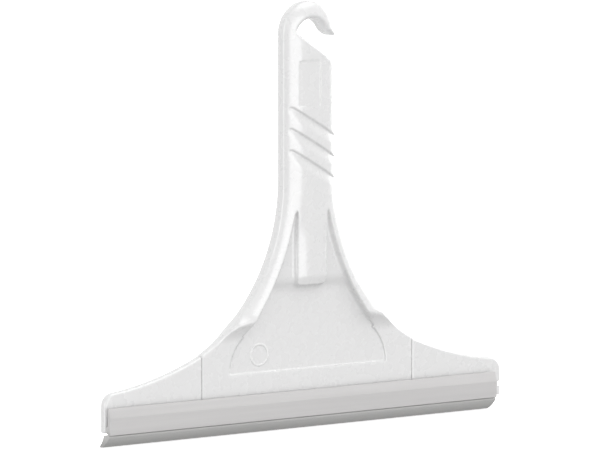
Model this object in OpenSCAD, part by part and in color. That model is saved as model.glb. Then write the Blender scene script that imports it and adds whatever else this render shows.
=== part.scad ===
// Window squeegee with a hooked handle, a flared body with two end fairings and a slide-in blade.
// X runs along the blade, Z up the handle. The blade's working side faces -Y.
// Z = 0 is the tip of the wiping lip, X = Y = 0 is the middle of the overall box.

/* [Body] */
// Overall width across both end fairings
body_w = 300; // [298:1:302]
// Overall height from lip tip to hook top
body_h = 257; // [256:1:258]
// Thickness of the grip and of the rims
grip_t = 13; // [12.5:0.5:14]
// Front face of the thin plate behind the blade
plate_front = -1.6; // [-1.8:0.1:-1.4]
// Thickness of that plate
plate_t = 6; // [6:0.1:6.4]
// Height of the plate's bottom edge
skirt_z = 8.7; // [8.6:0.1:9]

/* [Grip and hook] */
// Width of the grip
grip_w = 39; // [38:0.5:40]
// Radius of the hook's seat
hook_r = 11.6; // [11:0.1:12]
// Height of the hook seat's centre
hook_z = 235.1; // [234.5:0.1:235.5]
// Slope of the grip's cut-off top and of the hook's tip, in degrees
slant = 31; // [28:0.5:34]
// Distance from the seat's centre down to the cut-off top
slant_drop = 2.9; // [2.5:0.1:3.5]
// Width of the way out, from the cut-off top to the hook's tip
mouth_w = 11.8; // [11:0.1:12.5]
// Depth of the label recess
label_depth = 0.6; // [0.3:0.1:1]
// Number of finger grooves
groove_count = 3; // [1:1:3]
// Distance between finger grooves, measured up the grip
groove_pitch = 12.8; // [12:0.1:14]
// Depth of a finger groove
groove_depth = 1.5; // [1:0.1:2]

/* [Bell] */
// Height at which the grip starts to flare
bell_z = 150.5; // [149:0.5:152]
// Radius of the flare
bell_r = 115; // [114:1:116]
// Half distance between the two seams
seam_x = 79.5; // [79:0.1:80]
// Half width of the raised spine
spine_x = 11; // [10:0.5:11.5]
// Height of the spine's lower end
spine_z = 87; // [86:0.5:88]
// Depth of the pockets beside the spine, from the front
pocket_depth = 3.5; // [3:0.1:3.8]
// Depth of the thin panel below the plate's front face
panel_depth = 0.6; // [0.4:0.1:0.8]

/* [End fairings] */
// Radius of a fairing's hollow top edge
wing_r = 220; // [216:1:224]
// Radius of a fairing's outer corner
wing_corner_r = 8; // [6:1:9]
// Gap left at each seam
seam_gap = 0.2; // [0.1:0.05:0.3]

/* [Blade] */
// Length of the blade
blade_len = 292.5; // [290:0.5:294]
// Gap between the blade's left end and the body's left end
blade_inset = 0.3; // [0.2:0.1:1]
// Thickness of the blade holder
holder_t = 2.6; // [2.4:0.1:2.8]
// Clearance of the holder's rib in its slot
rib_gap = 0.2; // [0.1:0.05:0.3]
// Radius of the lip's round bead
bead_r = 1.2; // [1.1:0.05:1.25]
// Radial clearance of the bead in its channel
bead_gap = 0.05; // [0.02:0.01:0.1]

/* [Hidden] */
$fn = 96;
eps = 0.01;

// Planes along Y
front_y = -grip_t / 2;
back_y = grip_t / 2;
plate_back = plate_front + plate_t;
pocket_y = front_y + pocket_depth;
panel_y = plate_front + panel_depth;

// Bell: rims stay thick down to rim_z and then fall to the plate over rim_fall
rim_z = 66;
rim_fall = 5;
flare_x = grip_w / 2 + bell_r;
inner_r = 149.6;
inner_c = [159.2, 160.7];
panel_z = 36.3;
panel_x = 59;
panel_side_r = 28;
panel_side_z = 59;
step_z = 84.5;
step_h = 6;
pocket_top = 133;
hook_out_r = grip_w / 2;
hook_out_z = body_h - hook_out_r;

// Label recess and finger grooves, on the grip's front
label_x = [-10.2, 5.1];
label_z = [194.2, 221.6];
groove_slope = 29;
groove_start = [-16, 169.7];
groove_len = 50;
// Floor of a groove: distance below its top edge at the steep side and at the gentle side
groove_floor = [0.7, 3.2];
groove_h = 4.6;

// Moulded-out cells on the back, between ribs
cell_wall = 3.4;
cell_rib = 2;
cell_w = 20;
cell_h = 23.6;
// Each zone of cells: bottom, top and floor
cell_zones = [[24, 60, 2], [72, 92, 2], [98, 216, -0.4]];

// Tenons that carry the fairings
tenon_len = 13;
tenon_y = [0.4, 2.9];
tenon_z = [24, 38];
tenon_gap = 0.15;

// Fairing's hollow top edge and outer corner
wing_c = [168, 250.5];
corner_x = body_w / 2 - wing_corner_r;
corner_z = wing_c[1] - sqrt(pow(wing_r + wing_corner_r, 2) - pow(wing_c[0] - corner_x, 2));

// Slot in the plate: a narrow mouth and a wider head. It is open at the right end only.
slot_z = 15.5;
mouth_h = 3.2;
mouth_d = 1.2;
head_h = 6.4;
head_d = 1.8;
slot_x = -body_w / 2 + 12;

// Blade holder and lip, as sections in Y and Z
blade_x0 = -body_w / 2 + blade_inset;
blade_x1 = blade_x0 + blade_len;
holder_back = front_y + holder_t;
holder_z = [7.8, 23.6];
bevel_h = 5.8;
bevel_d = 1.6;
rib_x1 = blade_x1 - 12;
bead = [holder_back - 0.35, 10.6];
clip_wall = 1.05;
neck_t = 1.1;
// Half width of the channel's throat and of its flared mouth, so the lip can swing
throat = [0.8, 1.35];
// The lip's front lies inside one circle and its back outside another
lip_top = 7.4;
lip_front = front_y + 1.3;
lip_front_c = [10.54, 17.73];
lip_front_r = 19.51;
lip_back_c = [14.78, 11.55];
lip_back_r = 15.16;
lip_tip = 4.4;

// A flat outline in X and Z, thickened from y0 to y1
module slab(y0, y1) {
    translate([0, y1, 0]) rotate([90, 0, 0]) linear_extrude(y1 - y0) children();
}

// A section in Y and Z, drawn out from x0 to x1
module bar(x0, x1) {
    translate([x0, 0, 0]) rotate([90, 0, 90]) linear_extrude(x1 - x0) children();
}

// A rectangle between two corners
module box2(a, b) {
    translate(a) square(b - a);
}

// Grip, bell and plate between the seams
module body_outline() {
    difference() {
        box2([-seam_x, skirt_z], [seam_x, bell_z + eps]);
        for (s = [-1, 1]) translate([s * flare_x, bell_z]) circle(bell_r, $fn = 360);
    }
    box2([-grip_w / 2, bell_z], [grip_w / 2, hook_out_z]);
    translate([0, hook_out_z]) circle(hook_out_r);
}

// The open space of the hook: a round seat cut off by the slanted top, and the way out along it
module hook_gap() {
    translate([0, hook_z]) rotate(-slant) {
        intersection() {
            circle(hook_r, $fn = 180);
            box2([-grip_w, -slant_drop], [grip_w, grip_w]);
        }
        box2([0, -slant_drop], [2 * grip_w, mouth_w - slant_drop]);
    }
}

// Side view of the body: thick grip and rims, thin plate below
module side_profile() {
    polygon([
        [plate_front, skirt_z], [plate_front, rim_z - rim_fall], [front_y, rim_z],
        [front_y, body_h], [back_y, body_h], [back_y, rim_z], [plate_back, rim_z - rim_fall],
        [plate_back, skirt_z]
    ]);
}

// Inside edge of the rims, with the panel's round lower sides
module between_rims() {
    difference() {
        box2([-panel_x, panel_z], [panel_x, pocket_top]);
        for (s = [-1, 1]) translate([s * inner_c[0], inner_c[1]]) circle(inner_r, $fn = 360);
        for (s = [-1, 1]) scale([s, 1]) lower_corner();
    }
}

// What the panel's lower side leaves out: a convex curve that leans outwards towards the bottom
module lower_corner() {
    difference() {
        box2([panel_x - panel_side_r / 2, panel_z - 1], [panel_x + 1, panel_side_z]);
        translate([panel_x - panel_side_r, panel_z]) circle(panel_side_r, $fn = 180);
    }
}

module spine_outline() {
    box2([-spine_x, spine_z + 3], [spine_x, bell_z]);
    box2([-spine_x + 3, spine_z], [spine_x - 3, bell_z]);
    for (s = [-1, 1]) translate([s * (spine_x - 3), spine_z + 3]) circle(3);
}

// Floor of the hollow front: panel, sloped step and pockets beside the spine
module hollow_profile() {
    polygon([
        [front_y - 1, panel_z], [panel_y, panel_z], [panel_y, step_z], [pocket_y, step_z + step_h],
        [pocket_y, pocket_top - 3], [front_y, pocket_top], [front_y - 1, pocket_top]
    ]);
}

module front_hollow() {
    intersection() {
        bar(-seam_x, seam_x) hollow_profile();
        slab(front_y - 1, back_y) difference() {
            between_rims();
            spine_outline();
        }
    }
}

// Grooves slope down to the right, steep above and gentle below
module grooves() {
    for (i = [0 : groove_count - 1])
        translate([groove_start[0], front_y, groove_start[1] + i * groove_pitch])
            rotate([0, groove_slope, 0])
                bar(0, groove_len) polygon([
                    [-1, 0.4], [0, 0], [groove_depth, -groove_floor[0]],
                    [groove_depth * 0.7, -groove_floor[1]], [0, -groove_h], [-1, -groove_h]
                ]);
}

// The body's outline, drawn in by the wall of the moulded-out back
module inner_outline() {
    wall_x = grip_w / 2 - cell_wall;
    difference() {
        box2([-seam_x + cell_wall, 0], [seam_x - cell_wall, bell_z]);
        for (s = [-1, 1]) translate([s * flare_x, bell_z]) circle(bell_r + cell_wall, $fn = 360);
    }
    box2([-wall_x, bell_z - eps], [wall_x, body_h]);
}

// Moulded-out back, cut into cells by long ribs and, on the grip, by cross ribs
module back_cells() {
    for (zone = cell_zones)
        slab(zone[2], back_y + 1) difference() {
            intersection() {
                inner_outline();
                box2([-seam_x, zone[0]], [seam_x, zone[1]]);
            }
            for (i = [-3 : 3]) box2([i * cell_w - cell_rib / 2, 0], [i * cell_w + cell_rib / 2, body_h]);
            for (z = [zone[0] + cell_h : cell_h : zone[1] - cell_h / 2])
                box2([-grip_w, z - cell_rib / 2], [grip_w, z + cell_rib / 2]);
        }
}

// The slot that the holder's rib slides in
module rib_slot(gap, x0, x1) {
    y_head = plate_front + mouth_d;
    bar(x0, x1) {
        box2([holder_back - eps, slot_z - mouth_h / 2 + gap], [y_head + 2 * gap, slot_z + mouth_h / 2 - gap]);
        box2([y_head + gap, slot_z - head_h / 2 + gap], [y_head + head_d - gap, slot_z + head_h / 2 - gap]);
    }
}

module tenon(side, gap) {
    y0 = tenon_y[0] - gap;
    slab(y0, tenon_y[1] + gap) scale([side, 1])
        box2([seam_x - 2, tenon_z[0] - gap], [seam_x + tenon_len + gap, tenon_z[1] + gap]);
}

module handle_body() {
    color("white") {
        difference() {
            intersection() {
                slab(front_y, back_y) body_outline();
                bar(-seam_x, seam_x) side_profile();
            }
            slab(front_y - 1, back_y + 1) hook_gap();
            front_hollow();
            slab(front_y - 1, front_y + label_depth) box2([label_x[0], label_z[0]], [label_x[1], label_z[1]]);
            grooves();
            back_cells();
            rib_slot(0, slot_x, body_w);
        }
        for (side = [-1, 1]) tenon(side, 0);
    }
}

module wing_outline() {
    difference() {
        box2([seam_x + seam_gap, skirt_z], [body_w / 2, bell_z / 2]);
        translate(wing_c) circle(wing_r, $fn = 720);
        difference() {
            box2([corner_x, corner_z], [body_w / 2 + 1, corner_z + 3 * wing_corner_r]);
            translate([corner_x, corner_z]) circle(wing_corner_r);
        }
    }
}

module wing(side) {
    difference() {
        slab(plate_front, plate_back) scale([side, 1]) wing_outline();
        tenon(side, tenon_gap);
        rib_slot(0, slot_x, body_w);
    }
}

module left_wing() {
    color("white") wing(-1);
}

module right_wing() {
    color("white") wing(1);
}

// Front plate with a bevelled top, and the clip behind it that grips the lip's bead
module holder_section() {
    difference() {
        union() {
            polygon([
                [front_y, holder_z[0]], [front_y, holder_z[1] - bevel_h], [front_y + bevel_d, holder_z[1]],
                [holder_back, holder_z[1]], [holder_back, holder_z[0]]
            ]);
            translate(bead) circle(bead_r + bead_gap + clip_wall);
        }
        box2([front_y - 3, 0], [front_y, body_h]);
        translate(bead) circle(bead_r + bead_gap);
        polygon([
            [bead[0] - throat[0], bead[1]], [bead[0] - throat[0], bead[1] - bead_r / 2],
            [bead[0] - throat[1], holder_z[0]], [bead[0] - throat[1], 0],
            [bead[0] + throat[1], 0], [bead[0] + throat[1], holder_z[0]],
            [bead[0] + throat[0], bead[1] - bead_r / 2], [bead[0] + throat[0], bead[1]]
        ]);
    }
}

module blade_holder() {
    color("gainsboro") {
        bar(blade_x0, blade_x1) holder_section();
        rib_slot(rib_gap, slot_x + rib_gap, rib_x1);
    }
}

// Round bead, thin neck and a lip that sweeps back under the plate
module lip_section() {
    translate(bead) circle(bead_r);
    box2([bead[0] - neck_t / 2, lip_top - 1], [bead[0] + neck_t / 2, bead[1]]);
    difference() {
        intersection() {
            box2([lip_front, 0], [lip_tip, lip_top]);
            translate(lip_front_c) circle(lip_front_r, $fn = 360);
        }
        translate(lip_back_c) circle(lip_back_r, $fn = 360);
    }
}

module blade_lip() {
    color("silver") bar(blade_x0, blade_x1) lip_section();
}

handle_body();
left_wing();
right_wing();
blade_holder();
blade_lip();
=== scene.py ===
import math

import bpy
import numpy as np
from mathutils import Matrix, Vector


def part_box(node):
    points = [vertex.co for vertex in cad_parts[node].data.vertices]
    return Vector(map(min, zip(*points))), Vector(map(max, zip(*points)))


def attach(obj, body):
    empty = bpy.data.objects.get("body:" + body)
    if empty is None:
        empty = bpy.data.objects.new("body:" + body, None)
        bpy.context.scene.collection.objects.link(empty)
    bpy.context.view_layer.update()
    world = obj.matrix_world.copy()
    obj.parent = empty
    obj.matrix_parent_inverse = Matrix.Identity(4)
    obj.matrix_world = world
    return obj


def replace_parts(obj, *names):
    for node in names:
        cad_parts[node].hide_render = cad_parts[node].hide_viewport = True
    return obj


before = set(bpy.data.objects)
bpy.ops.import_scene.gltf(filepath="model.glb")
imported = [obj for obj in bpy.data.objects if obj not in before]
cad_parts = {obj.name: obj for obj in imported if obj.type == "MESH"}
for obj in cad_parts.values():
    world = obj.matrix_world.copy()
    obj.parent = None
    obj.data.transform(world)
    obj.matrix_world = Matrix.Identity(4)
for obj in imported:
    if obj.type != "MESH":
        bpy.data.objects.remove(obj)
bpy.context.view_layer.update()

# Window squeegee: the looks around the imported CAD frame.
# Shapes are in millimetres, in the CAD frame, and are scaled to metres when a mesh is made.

MM = 0.001
# Grid steps for the meshes of the body and of the fairings, and the angle past which a drawn edge is sharp
BODY_GRID, WING_GRID, SHARP = 0.82, 0.6, math.radians(40)

# Body: whole size, thick part, plate, skirt, grip, flared sides, seams of the fairings, foot of the rims
BODY_W, BODY_H = 300.0, 257.0
FRONT, BACK = -6.5, 6.5
PLATE_FRONT, PLATE_BACK = -1.6, 4.4
SKIRT_Z = 8.7
GRIP_X = 19.5
BELL_Z, BELL_R = 150.5, 115.0
FLARE_X = GRIP_X + BELL_R
SEAM_X, SEAM_GAP = 79.5, 0.2
RIM_Z, RIM_FALL = 66.0, 5.0
# Hollow in the front: curved inner side of the rims, panel, sloped step, pockets beside the spine, spine
INNER_R, INNER_X, INNER_Z = 149.6, 159.2, 160.7
PANEL_Z, PANEL_X, PANEL_SIDE_R, PANEL_SIDE_Z = 36.3, 59.0, 28.0, 59.0
PANEL_Y, POCKET_Y = -0.8, -3.0
STEP_Z, STEP_H, POCKET_TOP, POCKET_TOP_H = 84.5, 6.1, 133.0, 3.0
SPINE_X, SPINE_Z, SPINE_R = 11.0, 87.0, 3.0
# Heights between which the edges change from the plate's to the thick part's, and the hollow gets deep
EDGE_FADE, RIM_FADE, DEEP_FADE = (61.0, 72.0), (60.0, 72.0), (60.0, 70.0)

# How far the front falls back towards the sides of the grip and of the spine, and at the spine's lower end,
# and the heights between which each of them fades
CROWN, CROWN_FADE = 1.1, (112.0, 150.0)
SPINE_CROWN, SPINE_CROWN_FADE = 1.5, (108.0, 131.0)
SPINE_END, SPINE_END_FADE = 1.2, (86.0, 93.0)
SPINE_WALL_X = SPINE_X + 0.8

# Edge rounding. The thick part's front edge is an ellipse: its width across the front and its depth.
EDGE = (12.0, 5.0)
PLATE_EDGE, PLATE_BACK_EDGE, BACK_EDGE = 1.5, 2.4, 5.4
SEAM_EDGE, SKIRT_EDGE, HOOK_EDGE = 0.8, 0.7, 2.7
GROOVE_EDGE, LABEL_EDGE, CELL_EDGE, SLOT_EDGE = 0.5, 0.35, 0.5, 0.1
PANEL_EDGE, SPINE_EDGE, RIM_INNER_EDGE, INNER_EDGE_W = 0.3, 0.4, 1.1, 5.0
RIM_EDGE, RIM_BACK_EDGE = 1.6, 1.2
# Fillets: rims into the plate at the front and back, foot of the hollow's walls, and inside the hollow
RIM_FILLET, RIM_BACK_FILLET = 4.0, 2.0
PANEL_FILLET, POCKET_FILLET = 0.3, 2.1  # the second is added to the first in the pockets
PANEL_FOOT_R, SPINE_FOOT_R, STEP_R, POCKET_TOP_R = 0.6, 0.5, 0.8, 1.0

# Hook: seat, slanted top of the grip and mouth, and the fillets at the mouth and in the seat's corner
HOOK_R, HOOK_Z = 11.6, 235.1
HOOK_OUT_Z = BODY_H - GRIP_X
SLANT, SLANT_DROP, MOUTH_W = math.radians(31), 2.9, 11.8
MOUTH_R, SEAT_CORNER_R = 1.5, 1.6
# Label recess: centre in X and Z with half its width and height, corner radius, depth and floor's fillet
LABEL, LABEL_R, LABEL_DEPTH, LABEL_FLOOR_R = (-2.6, 207.9, 7.6, 13.7), 1.2, 0.35, 0.3
# Finger grooves: the lowest one's left end, their slope, and each one's steep top, floor and gentle foot
GROOVES, GROOVE_PITCH, GROOVE_START = 3, 12.8, (-16.0, 169.7)
GROOVE_SLOPE, GROOVE_DEPTH, GROOVE_FLOOR, GROOVE_H = math.radians(29), 1.25, (0.7, 3.2), 5.8
# Rise of a groove's floor, fillets at its steep side, gentle side and left end, and how much the grooves
# follow the grip's rounded edge
GROOVE_RISE, GROOVE_FILLETS, GROOVE_FOLLOW = 0.7, (0.4, 0.8, 2.0), 0.6

# Moulded-out back: walls, ribs, spacing of the ribs, and the bottom, top and floor of each zone of cells
CELL_WALL, CELL_RIB, CELL_W, CELL_H = 3.4, 2.0, 20.0, 23.6
CELL_CORNER_R, CELL_FLOOR_R = 1.0, 0.8
CELL_ZONES = ((24.0, 60.0, 2.0), (72.0, 92.0, 2.0), (98.0, 216.0, -0.4))

# Slot for the blade's rib
SLOT_Z, SLOT_X = 15.5, -138.0
MOUTH_H, MOUTH_D, HEAD_H, HEAD_D = 3.2, 1.2, 6.4, 1.8

# End fairings
WING_R, WING_X, WING_Z, CORNER_R = 220.0, 168.0, 250.5, 8.0
CORNER_X = BODY_W / 2 - CORNER_R
CORNER_Z = WING_Z - math.sqrt((WING_R + CORNER_R) ** 2 - (WING_X - CORNER_X) ** 2)
CORNER_START = CORNER_X + 0.9

# Blade: rigid strip with its rib and its bead channel, and the lip with its bead
BLADE_X = (-149.7, 142.8)
HOLDER_BACK, HOLDER_LOW, HOLDER_TOP = -3.9, 7.8, 23.6
BEVEL_H, BEVEL_D = 5.8, 1.6
RIB_X, RIB_GAP = (-137.8, 130.8), 0.2
STRIP_EDGE, LIP_EDGE = 0.1, 0.08
BEAD, BEAD_R, BEAD_GAP, CLIP_WALL = (-4.25, 10.6), 1.2, 0.05, 1.05
# Throat of the channel: angles where its circle opens and where the back jaw's outside starts, and how far
# ahead of the bead the front jaw ends
THROAT_IN, THROAT_OUT, JAW = -45.7, -60.0, 1.35
NECK = 0.55
LIP_TOP, LIP_FRONT, LIP_TIP = 7.4, -5.2, 4.4
LIP_FRONT_C, LIP_FRONT_R = (10.54, 17.73), 19.51
LIP_BACK_C, LIP_BACK_R = (14.78, 11.55), 15.16
# Shoulder: how far it stands out in front and where it ends below. Then the back of the lip under the strip.
LIP_SHOULDER, LIP_SHOULDER_Z, LIP_BACK = 0.2, 6.4, 0.35
# Heights at which the lip's front and back arcs start and end
LIP_FRONT_ARC, LIP_BACK_ARC = (5.9, 0.05), (0.6, 6.2)

# Ring on the panel: centre, radius, half its width, how far it stands out and how far it is let in
RING_C, RING_R, RING_W, RING_RISE, RING_SUNK = (-36.6, 46.8), 6.3, 0.8, 0.32, 0.05

# Photograph's view: angles in degrees, distance, aim and range in metres, lens and sensor in millimetres
AZIMUTH, ELEVATION, DISTANCE = -37.45, 5.45, 3.122
AIM, VIEW_RANGE = (-0.00531, 0.0, 0.12306), (0.1, 50.0)
LENS, SENSOR = 312.5, 36.0

# Room light from below and from above, how far off the level it is reached, and what is added behind
AMBIENT, HORIZON, BACKDROP = (0.55, 0.58), 0.6, 0.40
# Soft lights: name, azimuth, elevation, strength and angle across
LIGHTS = (
    ("fill", 5, 20, 0.52, 120),
    ("box_low", 8, -2, 0.66, 40),
    ("top", 40, 58, 0.8, 50),
    ("left", -86, 10, 0.9, 50),
    ("right", 100, 10, 1.7, 50),
)
FLOOR_HALF = 12000.0


# ---------- distance fields ----------


def both(a, b, r):
    """Where a and b meet, with the solid's edge rounded to radius r. Fields are negative inside."""
    return np.minimum(np.maximum(a, b), -r) + np.hypot(np.maximum(a + r, 0), np.maximum(b + r, 0))


def either(a, b, r):
    """a joined to b, with a hollow fillet of radius r."""
    return -both(-a, -b, r)


def cut(a, b, r):
    """a without b, with the new edge rounded."""
    return both(a, -b, r)


def ramp(a, b, v):
    """0 up to a, 1 from b, smooth between."""
    t = np.clip((v - a) / (b - a), 0, 1)
    return t * t * (3 - 2 * t)


def line(p, q, u, v):
    """Distance from the line p to q in the plane (u, v). Positive on its left."""
    d = math.hypot(q[0] - p[0], q[1] - p[1])
    return ((u - p[0]) * (p[1] - q[1]) + (v - p[1]) * (q[0] - p[0])) / d


def body_outline(x, z):
    """Sides of the body: flared below, straight along the grip, round over the hook."""
    ax = np.abs(x)
    flare = BELL_R - np.hypot(ax - FLARE_X, z - BELL_Z)
    grip = ax - GRIP_X + 0 * z
    hook = np.hypot(x, z - HOOK_OUT_Z) - GRIP_X
    return np.where(z < BELL_Z, flare, np.where(z < HOOK_OUT_Z, grip, hook))


def hook_gap(x, z):
    """Round seat cut off by the slanted top, and the way out along it."""
    along = x * math.cos(SLANT) - (z - HOOK_Z) * math.sin(SLANT)
    above = x * math.sin(SLANT) + (z - HOOK_Z) * math.cos(SLANT)
    way_out = np.maximum(-along, above - MOUTH_W + SLANT_DROP)
    seat = either(np.hypot(along, above) - HOOK_R, way_out, MOUTH_R)
    return both(seat, -SLANT_DROP - above, SEAT_CORNER_R)


def crown(x, z):
    """How far the front falls back towards the sides of the grip, and of the spine below it."""
    ax = np.abs(x)
    grip = CROWN * np.clip(ax / GRIP_X, 0, 1) ** 2 * ramp(*CROWN_FADE, z)
    spine = SPINE_CROWN * np.clip(ax / SPINE_X, 0, 1) ** 3 * (1 - ramp(*SPINE_CROWN_FADE, z))
    end = SPINE_END * (1 - ramp(*SPINE_END_FADE, z))
    return grip + np.where(ax < SPINE_WALL_X, spine + end, 0)


def edge_drop(x):
    """How far the rounded front edge of the grip falls back, as far as the grooves follow it."""
    limit = 0.95
    t = np.clip((np.abs(x) - GRIP_X + EDGE[0]) / EDGE[0], 0, limit)
    return GROOVE_FOLLOW * EDGE[1] * (1 - np.sqrt(1 - t * t))


def front_side(x, y, z):
    """Front of the body: thick grip and rims that end in a hollow sweep down to the thin plate."""
    plate = PLATE_FRONT - y
    fall = line((PLATE_FRONT, RIM_Z - RIM_FALL), (FRONT, RIM_Z), y, z)
    rims = both(FRONT + crown(x, z) - y, fall, RIM_EDGE)
    return either(plate, rims, RIM_FILLET)


def back_side(y, z):
    """Back of the body: thick above, thin plate below."""
    plate = y - PLATE_BACK
    fall = -line((PLATE_BACK, RIM_Z - RIM_FALL), (BACK, RIM_Z), y, z)
    return either(plate, both(y - BACK, fall, RIM_BACK_EDGE), RIM_BACK_FILLET)


def front_hollow(x, y, z):
    """Pockets beside the spine, the sloped step and the shallow panel below it."""
    ax = np.abs(x)
    lap = 0.6
    inner = INNER_R - np.hypot(ax - INNER_X, z - INNER_Z)
    upper = np.maximum(inner, PANEL_SIDE_Z - lap - z)
    side = np.hypot(np.maximum(ax - (PANEL_X - PANEL_SIDE_R), 0), np.maximum(z - PANEL_Z, 0)) - PANEL_SIDE_R
    lower = np.maximum(side, z - PANEL_SIDE_Z)
    between = both(either(upper, lower, lap / 2), PANEL_Z - z, PANEL_FOOT_R)
    corner = np.hypot(np.maximum(ax - SPINE_X + SPINE_R, 0), np.maximum(SPINE_Z + SPINE_R - z, 0)) - SPINE_R
    region = cut(between, corner, SPINE_FOOT_R)
    step = line((PANEL_Y, STEP_Z), (POCKET_Y, STEP_Z + STEP_H), y, z)
    floor = either(y - POCKET_Y, both(y - PANEL_Y, -step, STEP_R), STEP_R)
    top = line((POCKET_Y, POCKET_TOP - POCKET_TOP_H), (FRONT, POCKET_TOP), y, z)
    fillet = PANEL_FILLET + POCKET_FILLET * ramp(*DEEP_FADE, z)
    return both(region, both(floor, -top, POCKET_TOP_R), fillet)


def grooves(x, y, z):
    """Finger grooves: steep above, gentle below, sloping down to the right."""
    out = None
    steep_r, gentle_r, end_r = GROOVE_FILLETS
    deep = (FRONT + GROOVE_DEPTH, -GROOVE_FLOOR[0])
    shallow = (FRONT + GROOVE_RISE * GROOVE_DEPTH, -GROOVE_FLOOR[1])
    for i in range(GROOVES):
        dx, dz = x - GROOVE_START[0], z - GROOVE_START[1] - i * GROOVE_PITCH
        u = dx * math.cos(GROOVE_SLOPE) - dz * math.sin(GROOVE_SLOPE)
        v = dx * math.sin(GROOVE_SLOPE) + dz * math.cos(GROOVE_SLOPE)
        steep = line(deep, (FRONT, 0.0), y, v)
        floor = line(shallow, deep, y, v)
        gentle = line((FRONT, -GROOVE_H), shallow, y, v)
        groove = both(both(both(-steep, -floor, steep_r), -gentle, gentle_r), -u, end_r)
        out = groove if out is None else np.minimum(out, groove)
    return out


def label_recess(x, y, z):
    """Shallow rounded rectangle, left empty."""
    cx, cz, hx, hz = LABEL
    qx, qz = np.abs(x - cx) - hx + LABEL_R, np.abs(z - cz) - hz + LABEL_R
    flat = np.hypot(np.maximum(qx, 0), np.maximum(qz, 0)) + np.minimum(np.maximum(qx, qz), 0) - LABEL_R
    return both(flat, y - FRONT - LABEL_DEPTH, LABEL_FLOOR_R)


def back_cells(outline, x, y, z):
    """Cells open to the back with ribs between them. Only the taller zones have cross ribs."""
    inner = np.maximum(outline + CELL_WALL, np.abs(x) - SEAM_X + CELL_WALL)
    ribs = CELL_RIB / 2 - np.abs(x - CELL_W * np.round(x / CELL_W))
    out = None
    for low, top, floor in CELL_ZONES:
        k = np.clip(np.round((z - low) / CELL_H), 1, math.floor((top - low) / CELL_H - 0.5))
        cross = CELL_RIB / 2 - np.abs(z - low - k * CELL_H) if top - low > 1.5 * CELL_H else low - z
        ends = np.maximum(low - z, z - top)
        cell = both(both(inner, ribs, CELL_CORNER_R), np.maximum(ends, cross), CELL_CORNER_R)
        cell = both(cell, floor - y, CELL_FLOOR_R)
        out = cell if out is None else np.minimum(out, cell)
    return out


def rib_slot(x, y, z):
    """T-shaped slot for the blade's rib, closed at the left. The mouth runs a little way into the head."""
    lap = 0.2
    h = np.abs(z - SLOT_Z)
    y0 = PLATE_FRONT + MOUTH_D
    mouth = np.maximum(h - MOUTH_H / 2, y - y0 - lap)
    head = np.maximum(h - HEAD_H / 2, np.maximum(y0 - y, y - y0 - HEAD_D))
    return np.maximum(np.minimum(mouth, head), SLOT_X - x)


def handle_body(x, y, z):
    """The white moulding: its outline between front and back, less all that is hollowed out."""
    thick = ramp(*EDGE_FADE, z)
    outline = body_outline(x, z)
    across, deep = (PLATE_EDGE + thick * (e - PLATE_EDGE) for e in EDGE)
    front = both(outline * deep / across, front_side(x, y, z), deep)
    back = both(outline, back_side(y, z), PLATE_BACK_EDGE + thick * (BACK_EDGE - PLATE_BACK_EDGE))
    d = both(np.maximum(front, back), np.abs(x) - SEAM_X, SEAM_EDGE)
    d = both(d, SKIRT_Z - z, SKIRT_EDGE)
    beside = ramp(SPINE_X, SPINE_X + INNER_EDGE_W, np.abs(x))
    wall_edge = SPINE_EDGE + (RIM_INNER_EDGE - SPINE_EDGE) * beside
    d = cut(d, front_hollow(x, y, z), PANEL_EDGE + wall_edge * ramp(*RIM_FADE, z))
    d = cut(d, hook_gap(x, z), HOOK_EDGE)
    on_front = y - crown(x, z)
    d = cut(d, grooves(x, on_front - edge_drop(x), z), GROOVE_EDGE)
    d = cut(d, label_recess(x, on_front, z), LABEL_EDGE)
    d = cut(d, back_cells(outline, x, y, z), CELL_EDGE)
    return cut(d, rib_slot(x, y, z), SLOT_EDGE)


def wing(side):
    """The field of the end fairing on that side: -1 left, 1 right."""

    def field(x, y, z):
        ax = side * x
        top = WING_R - np.hypot(ax - WING_X, z - WING_Z)
        end = ax - BODY_W / 2
        corner = np.hypot(ax - CORNER_X, z - CORNER_Z) - CORNER_R
        outline = np.where((ax > CORNER_START) & (z > CORNER_Z), corner, np.maximum(top, end))
        d = both(outline, PLATE_FRONT - y, PLATE_EDGE)
        d = both(d, y - PLATE_BACK, PLATE_BACK_EDGE)
        d = both(d, SEAM_X + SEAM_GAP - ax, SEAM_EDGE)
        d = both(d, SKIRT_Z - z, SKIRT_EDGE)
        return cut(d, rib_slot(x, y, z), SLOT_EDGE)

    return field


# ---------- meshes ----------


def gradient(field, p, step):
    """Unit normals of the field at the points p, and its steepness there."""
    tiny = 1e-9
    g = np.empty_like(p)
    for i in range(3):
        d = np.zeros(3)
        d[i] = step
        a, b = p + d, p - d
        g[:, i] = field(a[:, 0], a[:, 1], a[:, 2]) - field(b[:, 0], b[:, 1], b[:, 2])
    size = np.maximum(np.linalg.norm(g, axis=1, keepdims=True), tiny)
    return g / size, size / (2 * step)


def crossings(f, axes, axis, h):
    """Grid edges along axis that the surface crosses.

    Gives their indices, their points and whether the solid is on the low side.
    """
    a = [slice(None)] * 3
    b = [slice(None)] * 3
    a[axis], b[axis] = slice(None, -1), slice(1, None)
    f0, f1 = f[tuple(a)], f[tuple(b)]
    idx = np.argwhere((f0 < 0) != (f1 < 0))
    v0, v1 = f0[tuple(idx.T)], f1[tuple(idx.T)]
    p = np.stack([axes[i][idx[:, i]] for i in range(3)], axis=1)
    p[:, axis] += h * v0 / (v0 - v1)
    return idx, p, v0 < 0


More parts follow.
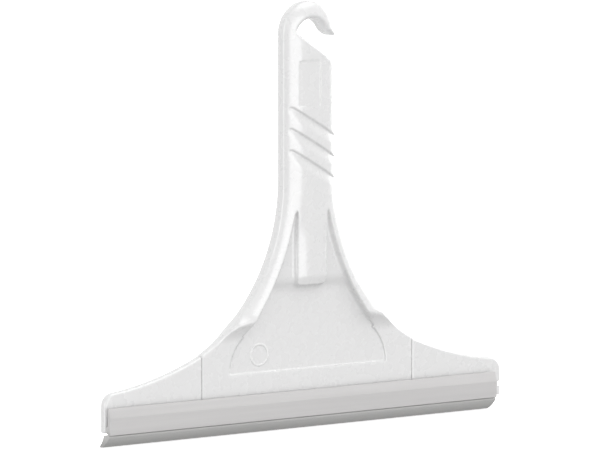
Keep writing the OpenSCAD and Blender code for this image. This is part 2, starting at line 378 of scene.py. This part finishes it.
def crossed_cells(field, f, axes, h, step):
    """The four cells round each crossing, the crossing's point and normal for each, and their quads."""
    cells = tuple(n - 1 for n in f.shape)
    keys, points, normals, quads = [], [], [], []
    for axis in range(3):
        idx, p, low_side = crossings(f, axes, axis, h)
        u, v = (axis + 1) % 3, (axis + 2) % 3
        around = []
        for du, dv in ((-1, -1), (0, -1), (0, 0), (-1, 0)):
            c = idx.copy()
            c[:, u] += du
            c[:, v] += dv
            around.append(np.ravel_multi_index(c.T, cells))
        around = np.stack(around, axis=1)
        keys.append(around.ravel())
        points.append(np.repeat(p, 4, axis=0))
        normals.append(np.repeat(gradient(field, p, step)[0], 4, axis=0))
        quads.append(np.where(low_side[:, None], around, around[:, ::-1]))
    return map(np.concatenate, (keys, points, normals, quads))


def corner_points(where, points, normals):
    """Each cell's best point on the planes through its crossings, held a little towards their middle."""
    hold = 0.04
    total = np.bincount(where)

    def gather(w):
        return np.bincount(where, weights=w)

    middle = np.stack([gather(points[:, i]) for i in range(3)], axis=1) / total[:, None]
    along = (normals * (points - middle[where])).sum(axis=1)
    rows = [np.stack([gather(normals[:, i] * normals[:, j]) for j in range(3)], axis=1) for i in range(3)]
    m = np.stack(rows, axis=1) + (hold * total)[:, None, None] * np.eye(3)
    b = np.stack([gather(normals[:, i] * along) for i in range(3)], axis=1)
    return middle + np.linalg.solve(m, b[:, :, None])[:, :, 0]


def field_mesh(field, low, high, h):
    """Quads over the surface where field is 0, with a corner kept wherever the surface has one.

    Each grid cell that the surface crosses gets one point, kept inside the cell and then moved onto the
    surface. Gives the points, the quads and the normals.
    """
    near, wide, margin, least = 0.04 * h, 0.2 * h, 0.02 * h, 0.2
    axes = [np.arange(low[i] - 1.5 * h, high[i] + 2.5 * h, h) for i in range(3)]
    f = field(axes[0][:, None, None], axes[1][None, :, None], axes[2][None, None, :])
    f = np.broadcast_to(f, tuple(len(a) for a in axes))
    keys, points, normals, quads = crossed_cells(field, f, axes, h, near)
    used, where = np.unique(keys, return_inverse=True)
    cell = np.unravel_index(used, tuple(n - 1 for n in f.shape))
    start = np.stack([axes[i][cell[i]] for i in range(3)], axis=1)
    v = np.clip(corner_points(where, points, normals), start + margin, start + h - margin)
    for _ in range(3):
        normal, steepness = gradient(field, v, near)
        v = v - normal * field(v[:, 0], v[:, 1], v[:, 2])[:, None] / np.maximum(steepness, least)
    return v, np.searchsorted(used, quads), gradient(field, v, wide)[0]


def new_object(name, verts, faces, normals=None):
    """A smooth object from points in millimetres."""
    mesh = bpy.data.meshes.new(name)
    mesh.from_pydata((np.asarray(verts) * MM).tolist(), [], [list(map(int, f)) for f in faces])
    mesh.validate()
    mesh.shade_smooth()
    if normals is not None:
        mesh.normals_split_custom_set_from_vertices(normals.tolist())
    obj = bpy.data.objects.new(name, mesh)
    bpy.context.scene.collection.objects.link(obj)
    return obj


def moulding(name, field, node, h):
    """The surface of a field as a mesh of step h, in place of a CAD node."""
    low, high = (np.array(c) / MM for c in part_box(node))
    obj = new_object(name, *field_mesh(field, low, high, h))
    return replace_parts(obj, node)


def arc(c, r, a0, a1, n):
    """Points on an arc from a0 to a1 degrees."""
    turn = np.radians(np.linspace(a0, a1, n))
    return [(c[0] + r * math.cos(a), c[1] + r * math.sin(a)) for a in turn]


def rounded(points, steps=5):
    """A closed outline whose corners (y, z, radius) are rounded. A corner with no radius stays as it is."""
    out = []
    n = len(points)
    share = 0.45
    for i, p in enumerate(points):
        r = p[2] if len(p) > 2 else 0
        b = np.array(p[:2])
        if not r:
            out.append(tuple(b))
            continue
        a, c = np.array(points[i - 1][:2]), np.array(points[(i + 1) % n][:2])
        before, after = np.linalg.norm(a - b), np.linalg.norm(c - b)
        u, w = (a - b) / before, (c - b) / after
        half = math.acos(float(np.clip(u @ w, -1, 1))) / 2
        t = min(r / math.tan(half), share * before, share * after)
        mid = (u + w) / np.linalg.norm(u + w)
        centre = b + mid * t / math.cos(half)
        radius = t * math.tan(half)
        s, e = b + u * t - centre, b + w * t - centre
        a0 = math.atan2(s[1], s[0])
        turn = (math.atan2(e[1], e[0]) - a0 + math.pi) % (2 * math.pi) - math.pi
        for k in range(steps + 1):
            a_k = a0 + turn * k / steps
            out.append((centre[0] + radius * math.cos(a_k), centre[1] + radius * math.sin(a_k)))
    return out


def inward(outline):
    """Unit vectors that point into a counter-clockwise outline at each of its points."""
    after = np.roll(outline, -1, axis=0) - np.array(outline)
    after /= np.linalg.norm(after, axis=1, keepdims=True)
    t = after + np.roll(after, 1, axis=0)
    t /= np.linalg.norm(t, axis=1, keepdims=True)
    return np.stack([-t[:, 1], t[:, 0]], axis=1)


def extrusion(name, outline, x0, x1, edge):
    """A section in Y and Z drawn along X, its ends rounded over by edge."""
    p, n = np.array(outline), inward(outline)
    turn = [math.radians(a) for a in (0, 22.5, 45, 67.5, 90)]
    rings = [(x0 + edge * (1 - math.cos(a)), edge * (1 - math.sin(a))) for a in turn]
    rings += [(x0 + x1 - x, e) for x, e in reversed(rings)]
    verts, faces, k = [], [], len(p)
    for x, e in rings:
        q = p + n * e
        verts += [(x, y, z) for y, z in q]
    for r in range(len(rings) - 1):
        for i in range(k):
            j = (i + 1) % k
            faces.append((r * k + i, r * k + k + i, r * k + k + j, r * k + j))
    faces.append(list(range(k)))
    last = (len(rings) - 1) * k
    faces.append([last + i for i in reversed(range(k))])
    obj = new_object(name, verts, faces)
    obj.data.set_sharp_from_angle(angle=SHARP)
    return obj


# ---------- the blade's sections, counter-clockwise in (Y, Z) ----------


def holder_section():
    """Strip with a bevelled top, and the channel that clips round the bead below it."""
    clip = BEAD_R + BEAD_GAP + CLIP_WALL
    channel = BEAD_R + BEAD_GAP
    swell = math.degrees(math.acos((HOLDER_BACK - BEAD[0]) / clip))
    points = [(FRONT, HOLDER_LOW, 0.35), (BEAD[0] - JAW, HOLDER_LOW, 0.2)]
    points += arc(BEAD, channel, 180 - THROAT_IN, THROAT_IN, 34)
    points += arc(BEAD, clip, THROAT_OUT, swell, 22)
    points += [
        (HOLDER_BACK, HOLDER_TOP, 0.35), (FRONT + BEVEL_D, HOLDER_TOP, 0.35),
        (FRONT, HOLDER_TOP - BEVEL_H, 0.5),
    ]
    return rounded(points)


def rib_section():
    """T-shaped rib, a little smaller than its slot, that starts inside the strip."""
    root = 0.3
    y_start = HOLDER_BACK - root
    y_head = PLATE_FRONT + MOUTH_D + RIB_GAP
    y_end = y_head + HEAD_D - 2 * RIB_GAP
    neck, head = MOUTH_H / 2 - RIB_GAP, HEAD_H / 2 - RIB_GAP
    return rounded([
        (y_start, SLOT_Z - neck), (y_head, SLOT_Z - neck, 0.15), (y_head, SLOT_Z - head, 0.25),
        (y_end, SLOT_Z - head, 0.25), (y_end, SLOT_Z + head, 0.25), (y_head, SLOT_Z + head, 0.25),
        (y_head, SLOT_Z + neck, 0.15), (y_start, SLOT_Z + neck),
    ], 3)


def on_arc(c, r, z):
    """Angle in degrees of the point at height z on the left half of a circle."""
    return 180 - math.degrees(math.asin((z - c[1]) / r))


def side_arc(c, r, heights, n):
    """Points on the left half of a circle, from one height to another."""
    start, end = (on_arc(c, r, z) for z in heights)
    return arc(c, r, start, end, n)


def lip_section():
    """Lip that curves back to a thin tip, with its neck and bead above."""
    grip = math.degrees(math.asin(NECK / BEAD_R))
    front_y = LIP_FRONT - LIP_SHOULDER
    points = [(BEAD[0] - NECK, LIP_TOP, 0.25), (front_y, LIP_TOP, 0.35), (front_y, LIP_SHOULDER_Z, 0.3)]
    points += side_arc(LIP_FRONT_C, LIP_FRONT_R, LIP_FRONT_ARC, 26)
    points += [(LIP_TIP, 0.0, 0.12)]
    points += side_arc(LIP_BACK_C, LIP_BACK_R, LIP_BACK_ARC, 22)
    points += [(LIP_BACK, LIP_TOP, 0.4), (BEAD[0] + NECK, LIP_TOP, 0.25)]
    points += arc(BEAD, BEAD_R, -90 + grip, 270 - grip, 34)
    return rounded(points)


def ring_mark():
    """A plain moulded ring on the panel."""
    n, m = 96, 10  # points round the ring and across it
    verts, faces = [], []
    for i in range(n):
        a = 2 * math.pi * i / n
        for j in range(m):
            b = math.pi * j / (m - 1)
            r = RING_R + RING_W * math.cos(b)
            y = PANEL_Y + RING_SUNK - (RING_RISE + RING_SUNK) * math.sin(b)
            verts.append((RING_C[0] + r * math.cos(a), y, RING_C[1] + r * math.sin(a)))
    for i in range(n):
        k = (i + 1) % n
        for j in range(m):
            q = (j + 1) % m
            faces.append((i * m + j, k * m + j, k * m + q, i * m + q))
    return new_object("ring_mark", verts, faces)


# ---------- materials ----------


class Nodes:
    """Short calls for building a node material."""

    def __init__(self, name):
        self.mat = bpy.data.materials.new(name)
        self.mat.use_nodes = True
        self.tree = self.mat.node_tree
        self.shader = self.tree.nodes["Principled BSDF"]
        self.coord = self.tree.nodes.new("ShaderNodeTexCoord").outputs["Object"]

    def link(self, a, b):
        self.tree.links.new(a, b)

    def height(self):
        """Height above the frame's origin, in metres."""
        s = self.tree.nodes.new("ShaderNodeSeparateXYZ")
        self.link(self.coord, s.inputs["Vector"])
        return s.outputs["Z"]

    def noise(self, scale, stretch=(1, 1, 1), detail=3.0, rough=0.5):
        """Noise on the object's own coordinates."""
        m = self.tree.nodes.new("ShaderNodeMapping")
        m.inputs["Scale"].default_value = stretch
        self.link(self.coord, m.inputs["Vector"])
        t = self.tree.nodes.new("ShaderNodeTexNoise")
        t.inputs["Scale"].default_value = scale
        t.inputs["Detail"].default_value = detail
        t.inputs["Roughness"].default_value = rough
        self.link(m.outputs["Vector"], t.inputs["Vector"])
        return t.outputs["Fac"]

    def between(self, fac, low, high, out_low, out_high):
        """Map low to high onto out_low to out_high, held at the ends."""
        m = self.tree.nodes.new("ShaderNodeMapRange")
        ends = {"From Min": low, "From Max": high, "To Min": out_low, "To Max": out_high}
        for key, value in ends.items():
            m.inputs[key].default_value = value
        self.link(fac, m.inputs["Value"])
        return m.outputs["Result"]

    def mix(self, fac, a, b):
        """Colour a where fac is 0 and b where it is 1."""
        m = self.tree.nodes.new("ShaderNodeMix")
        m.data_type = "RGBA"
        for key, value in (("Factor", fac), ("A", a), ("B", b)):
            kind = "VALUE" if key == "Factor" else "RGBA"
            socket = [s for s in m.inputs if s.name == key and s.type == kind][0]
            if hasattr(value, "is_linked"):
                self.link(value, socket)
            else:
                socket.default_value = value if key == "Factor" else (*value, 1)
        return [s for s in m.outputs if s.type == "RGBA"][0]

    def bump(self, height, distance, strength=1.0, under=None):
        """Bumps from a height, on top of the bumps under them."""
        b = self.tree.nodes.new("ShaderNodeBump")
        b.inputs["Distance"].default_value = distance
        b.inputs["Strength"].default_value = strength
        self.link(height, b.inputs["Height"])
        if under is not None:
            self.link(under, b.inputs["Normal"])
        return b.outputs["Normal"]

    def surface(self, **sockets):
        """Set or link the shader's sockets. Gives the material."""
        for key, value in sockets.items():
            socket = self.shader.inputs[key.replace("_", " ")]
            if hasattr(value, "is_linked"):
                self.link(value, socket)
            else:
                socket.default_value = value
        return self.mat


def white_plastic():
    """Glossy moulded plastic: faint cloudiness, uneven polish and shallow sink marks."""
    n = Nodes("white_plastic")
    clouds = n.between(n.noise(14, detail=1), 0.3, 0.7, 0, 1)
    cloud = n.mix(clouds, (0.792, 0.792, 0.792), (0.799, 0.799, 0.798))
    colour = n.mix(n.between(n.noise(700, detail=2), 0.4, 0.7, 0, 0.3), cloud, (0.775, 0.775, 0.78))
    rough = n.between(n.noise(140, detail=4), 0.3, 0.7, 0.23, 0.32)
    sink = n.bump(n.noise(55, detail=1), 0.0004, 0.25)
    grain = n.bump(n.noise(1600, detail=2), 0.00004, 0.35, sink)
    n.surface(Specular_IOR_Level=0.8, Coat_Weight=1.0, Coat_IOR=1.7, Coat_Roughness=0.22)
    return n.surface(Base_Color=colour, Roughness=rough, Normal=grain)


def grey_plastic():
    """Satin extruded plastic: fine lines along the blade."""
    n = Nodes("grey_plastic")
    lines = n.noise(160, stretch=(0.02, 1, 1), detail=5, rough=0.6)
    broad = n.noise(9, detail=2)
    colour = n.mix(n.between(lines, 0.3, 0.7, 0, 1), (0.55, 0.542, 0.54), (0.62, 0.612, 0.608))
    colour = n.mix(n.between(broad, 0.35, 0.65, 0, 0.5), colour, (0.57, 0.556, 0.559))
    rough = n.between(lines, 0.3, 0.7, 0.36, 0.46)
    return n.surface(Base_Color=colour, Roughness=rough, Normal=n.bump(lines, 0.00006, 0.5))


def rubber_lip():
    """Soft matt rubber with a fine skin and long drawing marks, with painted shade darkening it towards its
    tip.
    """
    n = Nodes("rubber_lip")
    lines = n.noise(220, stretch=(0.03, 1, 1), detail=4, rough=0.6)
    skin = n.noise(2600, detail=2)
    colour = n.mix(n.between(lines, 0.3, 0.7, 0, 1), (0.54, 0.538, 0.53), (0.61, 0.608, 0.60))
    colour = n.mix(n.between(skin, 0.45, 0.75, 0, 0.4), colour, (0.41, 0.41, 0.40))
    # Painted shade: the colour darkens towards the tip, where the lip faces down, away from the light.
    colour = n.mix(n.between(n.height(), 0.0, LIP_TOP * MM, 0.8, 0), colour, (0.30, 0.30, 0.292))
    rough = n.between(skin, 0.3, 0.7, 0.52, 0.66)
    normal = n.bump(skin, 0.00005, 0.4, n.bump(lines, 0.00008, 0.5))
    return n.surface(Base_Color=colour, Roughness=rough, Normal=normal)


def floor_paint():
    """Pale matt paint that glows a little, so that the floor stays light."""
    n = Nodes("floor_paint")
    colour = n.mix(n.between(n.noise(3), 0.3, 0.7, 0, 1), (0.93, 0.93, 0.93), (0.95, 0.95, 0.95))
    return n.surface(Base_Color=colour, Roughness=0.8, Emission_Color=(1, 1, 1, 1), Emission_Strength=0.55)


# ---------- the object ----------


def strip():
    """The rigid strip, in place of the CAD's."""
    obj = extrusion("holder_strip", holder_section(), *BLADE_X, STRIP_EDGE)
    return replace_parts(obj, "blade_holder")


def lip():
    """The soft lip, in place of the CAD's."""
    obj = extrusion("wiping_lip", lip_section(), *BLADE_X, LIP_EDGE)
    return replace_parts(obj, "blade_lip")


def build():
    """Every visual piece, listed with its body, its slot name and its material. The slot name is not used.
    """
    white, grey, rubber = white_plastic(), grey_plastic(), rubber_lip()
    pieces = [
        (moulding("moulded_body", handle_body, "handle_body", BODY_GRID), "body", "white_plastic", white),
        (moulding("end_fairing_left", wing(-1), "left_wing", WING_GRID), "body", "white_plastic", white),
        (moulding("end_fairing_right", wing(1), "right_wing", WING_GRID), "body", "white_plastic", white),
        (ring_mark(), "body", "white_plastic", white),
        (strip(), "blade", "grey_plastic", grey),
        (extrusion("holder_rib", rib_section(), *RIB_X, STRIP_EDGE), "blade", "grey_plastic", grey),
        (lip(), "lip", "rubber_lip", rubber),
    ]
    for obj, body, slot_name, material in pieces:
        obj.data.materials.append(material)
        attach(obj, body)


# ---------- the set ----------


def towards(azimuth, elevation):
    """Unit vector from the object. Azimuth 0 is straight in front and 90 is at +X."""
    a, e = math.radians(azimuth), math.radians(elevation)
    return Vector((math.sin(a) * math.cos(e), -math.cos(a) * math.cos(e), math.sin(e)))


def sun(name, azimuth, elevation, strength, angle):
    """A soft light from that direction."""
    data = bpy.data.lights.new(name, "SUN")
    data.energy = strength
    data.angle = math.radians(angle)
    obj = bpy.data.objects.new(name, data)
    obj.rotation_mode = "QUATERNION"
    obj.rotation_quaternion = towards(azimuth, elevation).to_track_quat("Z", "Y")
    bpy.context.scene.collection.objects.link(obj)


def room():
    """White for the camera. As light, a soft room that is brighter above and behind."""
    scene = bpy.context.scene
    world = bpy.data.worlds.new("studio")
    scene.world = world
    world.use_nodes = True
    tree = world.node_tree
    back = tree.nodes["Background"]
    back.inputs["Color"].default_value = (1, 1, 1, 1)
    coord = tree.nodes.new("ShaderNodeTexCoord")
    axes = tree.nodes.new("ShaderNodeSeparateXYZ")
    tree.links.new(coord.outputs["Generated"], axes.inputs["Vector"])
    upward = tree.nodes.new("ShaderNodeMapRange")
    upward.inputs["From Min"].default_value = -HORIZON
    upward.inputs["From Max"].default_value = HORIZON
    upward.inputs["To Min"].default_value, upward.inputs["To Max"].default_value = AMBIENT
    tree.links.new(axes.outputs["Z"], upward.inputs["Value"])
    behind = tree.nodes.new("ShaderNodeMapRange")
    behind.inputs["To Max"].default_value = BACKDROP
    tree.links.new(axes.outputs["Y"], behind.inputs["Value"])
    total = tree.nodes.new("ShaderNodeMath")
    tree.links.new(upward.outputs["Result"], total.inputs[0])
    tree.links.new(behind.outputs["Result"], total.inputs[1])
    path = tree.nodes.new("ShaderNodeLightPath")
    level = tree.nodes.new("ShaderNodeMix")
    level.inputs["B"].default_value = 1.0
    tree.links.new(path.outputs["Is Camera Ray"], level.inputs["Factor"])
    tree.links.new(total.outputs["Value"], level.inputs["A"])
    tree.links.new(level.outputs["Result"], back.inputs["Strength"])


def studio():
    """The room, the soft lights and the floor."""
    bpy.context.scene.view_settings.view_transform = "Standard"
    room()
    for light in LIGHTS:
        sun(*light)
    corners = ((-1, -1), (1, -1), (1, 1), (-1, 1))
    verts = [(s * FLOOR_HALF, t * FLOOR_HALF, 0.0) for s, t in corners]
    floor = new_object("floor", verts, [(0, 1, 2, 3)])
    floor.data.materials.append(floor_paint())
    floor.visible_diffuse = floor.visible_glossy = False


def camera():
    """The photograph's view."""
    data = bpy.data.cameras.new("camera")
    data.lens = LENS
    data.sensor_width = SENSOR
    data.clip_start, data.clip_end = VIEW_RANGE
    obj = bpy.data.objects.new("camera", data)
    back = towards(AZIMUTH, ELEVATION)
    obj.rotation_mode = "QUATERNION"
    obj.rotation_quaternion = back.to_track_quat("Z", "Y")
    obj.location = Vector(AIM) + back * DISTANCE
    bpy.context.scene.collection.objects.link(obj)
    bpy.context.scene.camera = obj


build()
studio()
camera()
